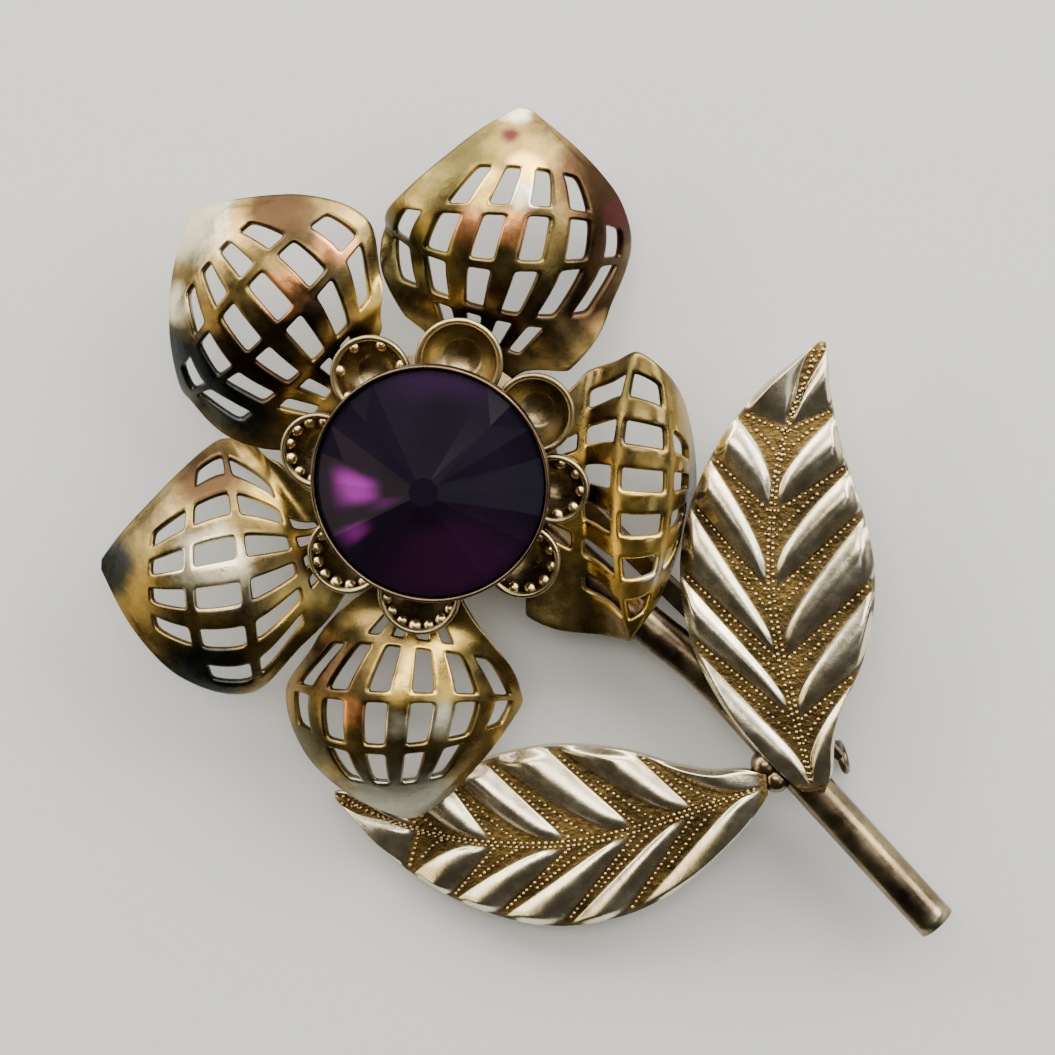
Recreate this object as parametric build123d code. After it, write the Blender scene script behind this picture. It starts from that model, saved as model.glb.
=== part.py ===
from build123d import *
import math
import os

# Flower brooch lying face up. Lengths in millimetres, angles in degrees.
# The flower's axis is the Z axis, and Z = 0 is the surface that the brooch lies on.

# Stone: a round glass stone, coned to the front and to the back
stone_radius = 7.0
girdle_thickness = 0.15
crown_height = 2.6
pavilion_height = 2.6
table_radius = 0.9
culet_radius = 0.4
stone_facets = 24

# Sheets, plates and the gaps between them, stacked from the back plate upward
plate_bottom = 4.35
plate_thickness = 0.7
plate_radius = 6.0
stack_gap = 0.05
petal_sheet = 0.5
ring_sheet = 0.5
ring_radius = 7.4

# Setting: a cup that follows the stone's back, with a thin rim and a rivet post
seat_clearance = 0.06
cup_wall = 0.38
rim_wall = 0.25
rim_above_girdle = 0.38
waist_radius = 4.1
foot_radius = 3.0
post_radius = 1.0
post_clearance = 0.06
girdle_above_ring = 3.45

# Ring of small round bowls: azimuth, rim radius
bowls = [
    (78, 2.70),
    (34, 2.50),
    (-4, 2.15),
    (-43, 2.35),
    (262, 2.60),
    (222, 2.50),
    (168, 2.35),
    (122, 2.50),
]
bowl_centres = 7.35
bowl_floor_share = 0.5
bowl_height = 2.3
bowl_wall = 0.35
bowl_bulge = 0.35

# Petals: one pierced stamping. Outline: share of length, share of half width
petal_length = 16.0
petal_half_width = 9.2
dome_radius = 9.8
petal_border = 1.4
border_share = 0.35
petal_outline = [
    (0.00, 0.60),
    (0.10, 0.74),
    (0.20, 0.88),
    (0.29, 0.97),
    (0.38, 1.00),
    (0.50, 0.96),
    (0.60, 0.87),
    (0.71, 0.71),
    (0.82, 0.46),
    (0.90, 0.26),
    (0.96, 0.11),
    (1.00, 0.02),
]

# Rows of slots: from and to, as shares of the length, and the first column cut.
# A row that starts at column 1 leaves the outer column on each side solid.
slot_rows = [
    (0.010, 0.120, 1),
    (0.165, 0.335, 0),
    (0.380, 0.550, 0),
    (0.595, 0.735, 1),
]
slot_columns = 6
slot_share = 0.52
tip_stations = [0.78, 0.83, 0.88, 0.93, 0.97, 1.0]
slot_stations = 3

# The tab that carries a petal under the ring: share of the seat's radius, half width
petal_tab = [
    (0.36, 1.0),
    (0.62, 1.7),
    (0.83, 2.4),
    (0.94, 3.2),
]
tab_share = 0.9

# How each petal was bent by hand.
# azimuth, turn and sweep set the heading of its midline; seat is its base's radius.
# rise and fall are the slopes at base and tip, reached between start and end;
# flat is the share that stays level first; roll tips it sideways; hook bends its tip;
# skew slants its rows of slots.
# dome is its share of the full doming; low and high are its base's half widths.
petals = {
    "petal_top": dict(
        azimuth=72, turn=-4, sweep=16, seat=8.4, rise=32, fall=45, flat=0.0, start=0.0,
        end=1.0, roll=11, skew=-0.13, hook=1.0, dome=1.1, low=0.60, high=0.54),
    "petal_upper_left": dict(
        azimuth=142, turn=-14, sweep=2, seat=8.2, rise=42, fall=48, flat=0.0, start=0.0,
        end=1.0, roll=-6, skew=-0.08, hook=0.0, dome=0.9, low=0.52, high=0.55),
    "petal_left": dict(
        azimuth=212, turn=-17, sweep=-9, seat=8.4, rise=34, fall=32, flat=0.0, start=0.0,
        end=1.0, roll=8, skew=0.06, hook=-1.0, dome=1.0, low=0.60, high=0.32),
    "petal_bottom": dict(
        azimuth=260, turn=0, sweep=8, seat=8.9, rise=30, fall=45, flat=0.0, start=0.0,
        end=1.0, roll=-5, skew=-0.08, hook=0.8, dome=1.2, low=0.43, high=0.40),
    "petal_right": dict(
        azimuth=-8, turn=8, sweep=-4, seat=6.4, rise=60, fall=86, flat=0.14, start=0.2,
        end=0.75, roll=2, skew=0.0, hook=-0.5, dome=0.45, low=0.88, high=0.60),
}
rise_share = 0.08
turn_share = 0.20
roll_share = 0.50
dome_share = 0.25
base_share = 0.45
hook_share = 0.70
spine_steps = 160

# Leaves: one ribbed stamping. Outline: along, midrib, left edge, right edge,
# all as shares of the length, measured from the chord between base and tip
leaf_length = 28.4
leaf_outline = [
    (0.00, 0.000, 0.022, -0.022),
    (0.05, 0.012, 0.085, -0.040),
    (0.12, 0.030, 0.150, -0.042),
    (0.20, 0.050, 0.210, -0.062),
    (0.30, 0.075, 0.262, -0.100),
    (0.40, 0.095, 0.290, -0.120),
    (0.50, 0.103, 0.300, -0.122),
    (0.60, 0.102, 0.288, -0.104),
    (0.70, 0.094, 0.256, -0.070),
    (0.80, 0.075, 0.205, -0.038),
    (0.90, 0.042, 0.125, -0.018),
    (0.96, 0.018, 0.055, -0.012),
    (1.00, 0.000, 0.006, -0.006),
]

# Grooves between the leaf's lobes: where each meets the midrib, left and right edge
leaf_grooves = [
    (0.000, 0.000, 0.000),
    (0.157, 0.340, 0.276),
    (0.290, 0.490, 0.480),
    (0.440, 0.640, 0.630),
    (0.620, 0.745, 0.730),
    (0.800, 0.840, 0.850),
    (1.000, 1.000, 1.000),
]
leaf_sheet = 0.55
leaf_relief = 0.9
leaf_camber = 0.5

# A lobe's height across its width, from groove to groove, and outward from the midrib
lobe_section = [
    (0.00, 0.0),
    (0.20, 0.0),
    (0.34, 0.8),
    (0.52, 1.0),
    (0.70, 0.7),
    (0.84, 0.0),
]
lobe_run = [
    (0.00, 0.0),
    (0.08, 0.0),
    (0.20, 0.5),
    (0.45, 0.9),
    (0.75, 1.0),
    (0.93, 0.8),
    (1.00, 0.0),
]

# Where each leaf is soldered on: base, heading, extra bow, height of base and of tip
leaves = {
    "upper": dict(base=(23.3, -20.0), heading=90.0, bow=0.0, base_height=4.30, tip_height=4.30),
    "lower": dict(base=(20.4, -19.6), heading=186.0, bow=0.02, base_height=4.25, tip_height=0.0),
}

# Stem: a tube bent gently from the back plate outward
tube_radius = 1.25
tube_bore = 0.85
solder_overlap = 0.12

# Solder where the lower leaf meets the stem: place and radius
solder_beads = [
    ((20.2, -18.5), 0.95),
    ((20.9, -19.4), 0.90),
]
solder_height = 3.9

# Stem's path, seen from above
stem_path = [
    (2.6, -0.9),
    (12.2, -9.5),
    (16.2, -12.7),
    (20.2, -16.9),
    (31.1, -28.7),
]
stem_bend = 12.0

# Pin: a bar under the back plate, with a foot, a wire and a catch
bar_start = (2.9, 3.1)
bar_end = (25.3, -18.4)
bar_width = 1.2
bar_thickness = 0.6
bar_below_plate = 1.15
pin_foot_gap = 0.15
pin_foot_length = 3.0
pin_foot_width = 2.0
catch_length = 1.6
catch_radius = 1.35
catch_wall = 0.45
catch_mouth = 0.9
wire_radius = 0.4

# Heights worked out from the stack
plate_top = plate_bottom + plate_thickness
petal_middle = plate_top + stack_gap + petal_sheet / 2
ring_bottom = petal_middle + petal_sheet / 2 + stack_gap
ring_top = ring_bottom + ring_sheet
girdle_height = ring_top + girdle_above_ring
tube_height = plate_bottom - tube_radius + solder_overlap
bar_top = plate_bottom - bar_below_plate


def smooth(x):
    """Ease from 0 to 1 with level ends."""
    x = min(max(x, 0.0), 1.0)
    return x * x * (3 - 2 * x)


def curve(table, x, column=1):
    """Value of a table's column at x, on a smooth curve through its rows."""
    row = 0
    while row < len(table) - 2 and x > table[row + 1][0]:
        row += 1

    def slope(i):
        before = table[max(i - 1, 0)]
        after = table[min(i + 1, len(table) - 1)]
        return (after[column] - before[column]) / (after[0] - before[0])

    span = table[row + 1][0] - table[row][0]
    f = min(max((x - table[row][0]) / span, 0.0), 1.0)
    start = table[row][column]
    end = table[row + 1][column]
    blend = smooth(f)
    return (start * (1 - blend) + end * blend
            + (f**3 - 2 * f**2 + f) * span * slope(row)
            + (f**3 - f**2) * span * slope(row + 1))


def sheet_solid(top, bottom, open_cells=()):
    """Closed faceted solid between two grids of points, with some cells cut through."""
    rows = len(top)
    columns = len(top[0])
    faces = []

    def quad(a, b, c, d):
        for corners in ((a, b, c), (a, c, d)):
            faces.append(Face(Wire.make_polygon([Vector(*p) for p in corners], close=True)))

    def solid_cell(i, k):
        return 0 <= i < rows - 1 and 0 <= k < columns - 1 and (i, k) not in open_cells

    for i in range(rows - 1):
        for k in range(columns - 1):
            if not solid_cell(i, k):
                continue
            ahead, beside = i + 1, k + 1
            quad(top[i][k], top[ahead][k], top[ahead][beside], top[i][beside])
            quad(bottom[i][k], bottom[i][beside], bottom[ahead][beside], bottom[ahead][k])
            if not solid_cell(i - 1, k):
                quad(top[i][k], top[i][beside], bottom[i][beside], bottom[i][k])
            if not solid_cell(i + 1, k):
                quad(top[ahead][beside], top[ahead][k], bottom[ahead][k], bottom[ahead][beside])
            if not solid_cell(i, k - 1):
                quad(top[ahead][k], top[i][k], bottom[i][k], bottom[ahead][k])
            if not solid_cell(i, k + 1):
                quad(top[i][beside], top[ahead][beside], bottom[ahead][beside], bottom[i][beside])
    return Solid(Shell(faces))


def petal_spine(bend):
    """Centre, side, normal and curvature at each step along a petal's midline."""
    azimuth = math.radians(bend["azimuth"])
    centre = Vector(bend["seat"] * math.cos(azimuth), bend["seat"] * math.sin(azimuth), petal_middle)
    spine = []
    for step in range(spine_steps + 1):
        t = step / spine_steps
        climb = bend["rise"] * smooth((t - bend["flat"]) / rise_share)
        drop = (bend["rise"] + bend["fall"]) * smooth((t - bend["start"]) / (bend["end"] - bend["start"]))
        slope = math.radians(climb - drop)
        heading = math.radians(bend["azimuth"] + bend["turn"] * smooth(t / turn_share) + bend["sweep"] * t)
        forward = Vector(math.cos(heading), math.sin(heading), 0)
        along = forward * math.cos(slope) + Vector(0, 0, math.sin(slope))
        level = Vector(-math.sin(heading), math.cos(heading), 0)
        upright = along.cross(level)
        roll = math.radians(bend["roll"]) * smooth(t / roll_share)
        side = level * math.cos(roll) + upright * math.sin(roll)
        normal = upright * math.cos(roll) - level * math.sin(roll)
        curvature = bend["dome"] / dome_radius * smooth(t / dome_share) + 1e-6
        spine.append((centre, side, normal, curvature))
        centre = centre + along * (petal_length / spine_steps)
    return spine


def petal_point(bend, spine, t, across, lift):
    """Point on a petal: t along its length, across on the sheet, lift off the sheet's middle."""
    if t < 0:
        azimuth = math.radians(bend["azimuth"])
        radius = bend["seat"] + t * petal_length
        x = radius * math.cos(azimuth) - across * math.sin(azimuth)
        y = radius * math.sin(azimuth) + across * math.cos(azimuth)
        return (x, y, petal_middle + lift)
    slant = bend["skew"] * 4 * t * (1 - t) * across / petal_half_width
    place = min(max(t + slant, 0.0), 1.0) * spine_steps
    before = min(int(place), spine_steps - 1)
    share = place - before
    centre, side, normal, curvature = [
        a * (1 - share) + b * share for a, b in zip(spine[before], spine[before + 1])]
    turn = curvature * (across + bend["hook"] * smooth((t - hook_share) / (1 - hook_share)))
    point = (centre + side * (math.sin(turn) / curvature) - normal * ((1 - math.cos(turn)) / curvature)
             + (normal * math.cos(turn) + side * math.sin(turn)) * lift)
    return (point.X, point.Y, point.Z)


def petal_half(t, base):
    """Half width of a petal at t, with its own share at the base."""
    spread = (base - petal_outline[0][1]) * (1 - smooth(t / base_share))
    return petal_half_width * (curve(petal_outline, t) + spread)


def petal_lines(bend, t):
    """Where the edges of the petal and of its slots lie across it, at t."""
    narrow = petal_half(t, min(bend["low"], bend["high"]))
    inner = narrow - min(petal_border, border_share * narrow)
    pitch = 2 * inner / (slot_columns * slot_share + (slot_columns - 1) * (1 - slot_share))
    lines = [-petal_half(t, bend["low"])]
    for column in range(slot_columns):
        start = -inner + column * pitch
        lines += [start, start + pitch * slot_share]
    lines.append(petal_half(t, bend["high"]))
    return lines


def petal(bend):
    """One pierced petal with its tab."""
    spine = petal_spine(bend)
    stations = []
    rows = []
    root = petal_lines(bend, 0)
    for share, half in petal_tab:
        low = min(half / -root[0], tab_share)
        high = min(half / root[-1], tab_share)
        stations.append((share - 1) * bend["seat"] / petal_length)
        rows.append([line * (low if line < 0 else high) for line in root])
    stations.append(0.0)
    rows.append(root)
    open_cells = set()
    for start, end, first in slot_rows:
        for part in range(slot_stations + 1):
            t = start + (end - start) * part / slot_stations
            if part < slot_stations:
                for column in range(first, slot_columns - first):
                    open_cells.add((len(stations), 2 * column + 1))
            stations.append(t)
            rows.append(petal_lines(bend, t))
    for t in tip_stations:
        stations.append(t)
        rows.append(petal_lines(bend, t))
    half_sheet = petal_sheet / 2

    def layer(lift):
        return [
            [petal_point(bend, spine, t, across, lift) for across in row]
            for t, row in zip(stations, rows)]

    return sheet_solid(layer(half_sheet), layer(-half_sheet), open_cells)


def leaf_point(leaf, along, out, height):
    """Point on a leaf: along its midrib, out from the midrib to an edge (-1 right, 1 left)."""
    edge = 2 if out > 0 else 3
    reach = curve(leaf_grooves, along, edge - 1)
    distance = abs(out)
    x = along * (1 - distance) + reach * distance
    y = curve(leaf_outline, along) * (1 - distance) + curve(leaf_outline, reach, edge) * distance
    y += leaf["bow"] * math.sin(math.pi * x)
    heading = math.radians(leaf["heading"])
    east = leaf["base"][0] + leaf_length * (x * math.cos(heading) - y * math.sin(heading))
    north = leaf["base"][1] + leaf_length * (x * math.sin(heading) + y * math.cos(heading))
    level = leaf["base_height"] + (leaf["tip_height"] - leaf["base_height"]) * x
    camber = leaf_camber * math.sin(math.pi * min(max(along, 0.0), 1.0)) * (1 - out * out)
    return (east, north, level + camber + height)


def leaf_solid(leaf):
    """One leaf: a sheet with raised lobes on both sides of the midrib."""
    stations = []
    for lobe in range(len(leaf_grooves) - 1):
        start = leaf_grooves[lobe][0]
        width = leaf_grooves[lobe + 1][0] - start
        for share, height in lobe_section:
            stations.append((start + width * share, height))
    stations.append((1.0, 0.0))
    across = [(-out, height) for out, height in reversed(lobe_run)] + lobe_run[1:]
    top = []
    bottom = []
    for along, lobe_height in stations:
        fade = min(1.0, 4 * along + 0.2, 6 * (1 - along))
        top.append([
            leaf_point(leaf, along, out, leaf_sheet + leaf_relief * lobe_height * height * fade)
            for out, height in across])
        bottom.append([leaf_point(leaf, along, out, 0.0) for out, height in across])
    return sheet_solid(top, bottom)


def stem_tube(radius):
    """Round bar along the stem's path."""
    points = [(x, y, tube_height) for x, y in stem_path]
    path = FilletPolyline(*points, radius=stem_bend)
    start = Plane(origin=path @ 0, z_dir=path % 0)
    return sweep(start * Circle(radius), path=path)


def spray():
    """Back plate, stem and both leaves, soldered together."""
    plate = Cylinder(plate_radius, plate_thickness, align=(Align.CENTER, Align.CENTER, Align.MIN))
    plate = Pos(0, 0, plate_bottom) * plate
    hole = Cylinder(post_radius + post_clearance, 4 * plate_thickness)
    plate -= Pos(0, 0, plate_bottom) * hole
    body = stem_tube(tube_radius) + plate
    for leaf in leaves.values():
        body = body + leaf_solid(leaf)
    for (x, y), radius in solder_beads:
        body = body + Pos(x, y, solder_height) * Sphere(radius)
    return body - stem_tube(tube_bore)


def stone():
    """Cut glass stone, a flat table and culet with plane facets between."""
    def ring(radius, height):
        return Pos(0, 0, height) * RegularPolygon(radius, stone_facets)

    girdle_top = girdle_height + girdle_thickness / 2
    girdle_bottom = girdle_height - girdle_thickness / 2
    crown = loft([ring(stone_radius, girdle_top), ring(table_radius, girdle_top + crown_height)], ruled=True)
    belt = Pos(0, 0, girdle_bottom) * extrude(RegularPolygon(stone_radius, stone_facets), girdle_thickness)
    culet = girdle_bottom - pavilion_height
    pavilion = loft([ring(culet_radius, culet), ring(stone_radius, girdle_bottom)], ruled=True)
    return crown + belt + pavilion


def turned(profile):
    """Solid of revolution about the Z axis from a closed outline of radius and height."""
    outline = Polyline(*[(radius, 0, height) for radius, height in profile], close=True)
    return revolve(make_face(outline), axis=Axis.Z)


def setting():
    """Cup that holds the stone, with its rivet post."""
    culet = girdle_height - girdle_thickness / 2 - pavilion_height
    seat_radius = stone_radius + seat_clearance
    cone = pavilion_height / (stone_radius - culet_radius)
    seat_bottom = culet - seat_clearance
    seat_top = seat_bottom + cone * (seat_radius - culet_radius)
    rim_top = girdle_height + rim_above_girdle
    rim_radius = seat_radius + rim_wall
    foot_height = ring_top + stack_gap
    waist_height = seat_bottom + cone * (waist_radius - culet_radius) - cup_wall
    return turned([
        (0, seat_bottom),
        (culet_radius, seat_bottom),
        (seat_radius, seat_top),
        (seat_radius, rim_top),
        (rim_radius, rim_top),
        (rim_radius, seat_top - cup_wall + cone * rim_wall),
        (waist_radius, waist_height),
        (foot_radius, foot_height),
        (post_radius, foot_height),
        (post_radius, plate_bottom),
        (0, plate_bottom),
    ])


def bowl(azimuth, rim_radius, inset):
    """Round bowl with bulging side, inset from its outside by a wall."""
    floor_radius = rim_radius * bowl_floor_share - inset
    edge_radius = rim_radius - inset
    floor = ring_bottom + inset
    top = ring_bottom + bowl_height + inset
    middle = ((floor_radius + edge_radius) / 2 + bowl_bulge, (floor + top) / 2 - bowl_bulge / 2)
    side = ThreePointArc((floor_radius, 0, floor), (middle[0], 0, middle[1]), (edge_radius, 0, top))
    rest = Polyline((edge_radius, 0, top), (0, 0, top), (0, 0, floor), (floor_radius, 0, floor))
    body = revolve(make_face(side + rest), axis=Axis.Z)
    return Rot(0, 0, azimuth) * Pos(bowl_centres, 0, 0) * body


def cup_ring():
    """Disc under the setting with a ring of small round bowls."""
    body = Cylinder(ring_radius, ring_sheet, align=(Align.CENTER, Align.CENTER, Align.MIN))
    body = Pos(0, 0, ring_bottom) * body
    for azimuth, rim_radius in bowls:
        body = body + bowl(azimuth, rim_radius, 0.0)
    for azimuth, rim_radius in bowls:
        body = body - bowl(azimuth, rim_radius, bowl_wall)
    hole = Cylinder(post_radius + post_clearance, 4 * ring_sheet)
    return body - Pos(0, 0, ring_bottom) * hole


def pin_back():
    """Pin bar with its foot, wire and catch, as one piece."""
    run = Vector(*bar_end) - Vector(*bar_start)
    length = run.length
    heading = math.degrees(math.atan2(run.Y, run.X))
    low = (Align.MIN, Align.CENTER, Align.MIN)
    bar = Pos(0, 0, bar_top - bar_thickness) * Box(length, bar_width, bar_thickness, align=low)
    foot = Box(pin_foot_length, pin_foot_width, plate_bottom - pin_foot_gap, align=low)
    hook = Cylinder(catch_radius, catch_length) - Cylinder(catch_radius - catch_wall, catch_length)
    hook = Rot(0, 90, 0) * hook
    hook -= Box(catch_length, catch_radius, catch_mouth, align=(Align.CENTER, Align.MIN, Align.CENTER))
    catch = Pos(length - catch_length / 2, 0, catch_radius) * hook
    wire_length = length - pin_foot_length / 2
    wire = Pos(length - wire_length / 2, 0, catch_radius) * Rot(0, 90, 0) * Cylinder(wire_radius, wire_length)
    body = bar + foot + catch + wire
    return Pos(*bar_start) * Rot(0, 0, heading) * body


os.makedirs("parts", exist_ok=True)
export_step(stone(), "parts/stone.step")
export_step(setting(), "parts/setting.step")
export_step(cup_ring(), "parts/cup_ring.step")
for name, bend in petals.items():
    export_step(petal(bend), f"parts/{name}.step")
export_step(spray(), "parts/spray.step")
export_step(pin_back(), "parts/pin_back.step")
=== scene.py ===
import math
import random

import bpy
from mathutils import Matrix, Vector


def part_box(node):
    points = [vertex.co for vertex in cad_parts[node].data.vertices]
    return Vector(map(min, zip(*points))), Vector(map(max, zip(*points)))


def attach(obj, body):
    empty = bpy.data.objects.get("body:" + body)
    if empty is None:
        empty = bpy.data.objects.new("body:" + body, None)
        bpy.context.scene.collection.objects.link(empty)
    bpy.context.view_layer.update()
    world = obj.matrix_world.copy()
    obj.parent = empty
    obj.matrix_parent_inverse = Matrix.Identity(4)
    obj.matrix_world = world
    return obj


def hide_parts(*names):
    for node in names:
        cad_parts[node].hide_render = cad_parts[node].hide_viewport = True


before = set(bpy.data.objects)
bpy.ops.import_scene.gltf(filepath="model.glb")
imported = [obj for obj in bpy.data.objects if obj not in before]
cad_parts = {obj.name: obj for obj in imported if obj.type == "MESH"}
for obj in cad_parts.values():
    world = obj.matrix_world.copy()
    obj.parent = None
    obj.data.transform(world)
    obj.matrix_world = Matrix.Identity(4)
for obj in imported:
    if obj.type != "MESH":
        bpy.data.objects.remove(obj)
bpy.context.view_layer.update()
random.seed(7)

# Lengths are in millimetres and angles in degrees. Meshes are turned to metres when made.
MM = 0.001

# Heights, from the frame
ring_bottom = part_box("cup_ring")[0][2] / MM
petal_sheet = 0.5
stack_gap = 0.05
petal_middle = ring_bottom - stack_gap - petal_sheet / 2
plate_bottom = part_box("setting")[0][2] / MM
rim_above_girdle = 0.38
girdle_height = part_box("setting")[1][2] / MM - rim_above_girdle
stone_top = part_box("stone")[1][2] / MM

# Petals. The outline is share of length and share of half width
petal_length = 16.0
petal_half_width = 9.2
dome_radius = 9.8
petal_border = 1.4
border_share = 0.35
petal_outline = [
    (0.00, 0.60),
    (0.10, 0.74),
    (0.20, 0.88),
    (0.29, 0.97),
    (0.38, 1.00),
    (0.50, 0.96),
    (0.60, 0.87),
    (0.71, 0.71),
    (0.82, 0.46),
    (0.90, 0.26),
    (0.96, 0.11),
    (1.00, 0.02),
]

# Slots of a petal, row by row: start, end, and the columns left out on each side
slot_rows = [
    (0.010, 0.120, 1),
    (0.165, 0.335, 0),
    (0.380, 0.550, 0),
    (0.595, 0.735, 1),
]
slot_columns = 6
slot_share = 0.46
corner_share = 0.3
edge_parts = 3
short_slot = 0.13
beside_slot = 0.016
within_slot = 1.2 * beside_slot
lines_before_slots = 3
lines_per_slot = 6
cells_per_slot = 3
tip_stations = [0.76, 0.79, 0.82, 0.85, 0.88, 0.91, 0.94, 0.965, 0.985, 1.0]
petal_rounding = 2

# Tab that carries a petal: share of its distance from the middle, and half width
petal_tab = [
    (0.36, 1.0),
    (0.38, 1.05),
    (0.62, 1.7),
    (0.83, 2.4),
    (0.94, 3.2),
]
tab_share = 0.9

# How each petal lies and is bent
petals = {
    "petal_top": dict(
        azimuth=72, turn=-4, sweep=16, seat=8.4, rise=32, fall=45, flat=0.0, start=0.0,
        end=1.0, roll=11, skew=-0.13, hook=1.0, dome=1.1, low=0.60, high=0.54),
    "petal_upper_left": dict(
        azimuth=142, turn=-14, sweep=2, seat=8.2, rise=42, fall=48, flat=0.0, start=0.0,
        end=1.0, roll=-6, skew=-0.08, hook=0.0, dome=0.9, low=0.52, high=0.55),
    "petal_left": dict(
        azimuth=212, turn=-17, sweep=-9, seat=8.4, rise=34, fall=32, flat=0.0, start=0.0,
        end=1.0, roll=8, skew=0.06, hook=-1.0, dome=1.0, low=0.60, high=0.32),
    "petal_bottom": dict(
        azimuth=260, turn=0, sweep=8, seat=8.9, rise=30, fall=45, flat=0.0, start=0.0,
        end=1.0, roll=-5, skew=-0.08, hook=0.8, dome=1.2, low=0.43, high=0.40),
    "petal_right": dict(
        azimuth=-8, turn=8, sweep=-4, seat=6.4, rise=60, fall=86, flat=0.14, start=0.2,
        end=0.75, roll=2, skew=0.0, hook=-0.5, dome=0.45, low=0.88, high=0.60),
}
rise_share = 0.08
turn_share = 0.20
roll_share = 0.50
dome_share = 0.25
base_share = 0.45
hook_share = 0.70
least_curvature = 1e-6
spine_steps = 400

# Leaves. The outline is along, midrib, left edge and right edge, as shares of the length
leaf_length = 28.4
leaf_outline = [
    (0.00, 0.000, 0.022, -0.022),
    (0.05, 0.012, 0.085, -0.040),
    (0.12, 0.030, 0.150, -0.042),
    (0.20, 0.050, 0.210, -0.062),
    (0.30, 0.075, 0.262, -0.100),
    (0.40, 0.095, 0.290, -0.120),
    (0.50, 0.103, 0.300, -0.122),
    (0.60, 0.102, 0.288, -0.104),
    (0.70, 0.094, 0.256, -0.070),
    (0.80, 0.075, 0.205, -0.038),
    (0.90, 0.042, 0.125, -0.018),
    (0.96, 0.018, 0.055, -0.012),
    (1.00, 0.000, 0.006, -0.006),
]

# Grooves between the lobes: where each meets the midrib, the left edge and the right edge
leaf_grooves = [
    (0.000, 0.000, 0.000),
    (0.157, 0.340, 0.276),
    (0.290, 0.490, 0.480),
    (0.440, 0.640, 0.630),
    (0.620, 0.745, 0.730),
    (0.800, 0.840, 0.850),
    (1.000, 1.000, 1.000),
]
leaf_sheet = 0.55
leaf_camber = 0.5
leaves = {
    "leaf_upper": dict(base=(23.3, -20.0), heading=90.0, bow=0.0, base_height=4.30, tip_height=4.30),
    "leaf_lower": dict(base=(20.4, -19.6), heading=186.0, bow=0.02, base_height=4.25, tip_height=0.0),
}
leaf_rounding = 1
run_steps = 22
low_steps = 2
blade_steps = 10
high_steps = 3
rim_share = 0.95

# Blades on the leaves, in shares of a lobe's width and of the way out from the midrib
blade_relief = 0.62
blade_root = 0.05
blade_low = 0.08
blade_least = 0.18
blade_high = 0.95
blade_spread = 0.5
blade_crest = 0.5
blade_power = 1.7
blade_start = 0.12
blade_end = 0.88
blade_end_run = 0.14
stalk_fade = 8
stalk_least = 0.5
tip_fade = 14

# Rows of beads on the leaves
bead_radius = 0.14
bead_sizes = (0.75, 1.15)
bead_sink = 0.1
bead_mesh = (5, 8)
bead_pitch = 0.36
bead_jitter = 0.06
midrib_offset = 0.03
midrib_beads = [0.03 + 0.93 * k / 400 for k in range(401)]
groove_beads = [0.08 + 0.84 * k / 80 for k in range(81)]
low_bead_share = 0.3
high_bead_share = 0.55
high_bead_reach = 0.6

# Patterns in the worn gilt, and the painted shade in its hollows. Scales are features to the metre; waves
# and grain add height and strength
tone_scale = 230.0
ragged_scale = 420.0
speck_scale = 700.0
tone_range = (0.36, 0.62)
rough_range = (0.3, 0.75)
# Painted shade in hollows: ambient occlusion within this depth darkens the colour over this range
hollow_shade_range = (0.35, 0.9)
hollow_shade_depth = 1.8
spot_full = 0.9
spot_none = 1.6
black = (0.0, 0.0, 0.0)
white = (1.0, 1.0, 1.0)
soft_waves = (520.0, 0.12, 0.35)
fine_grain = (1400.0, 0.04, 0.15)
coarse_grain = (2600.0, 0.15, 0.9)
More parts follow.
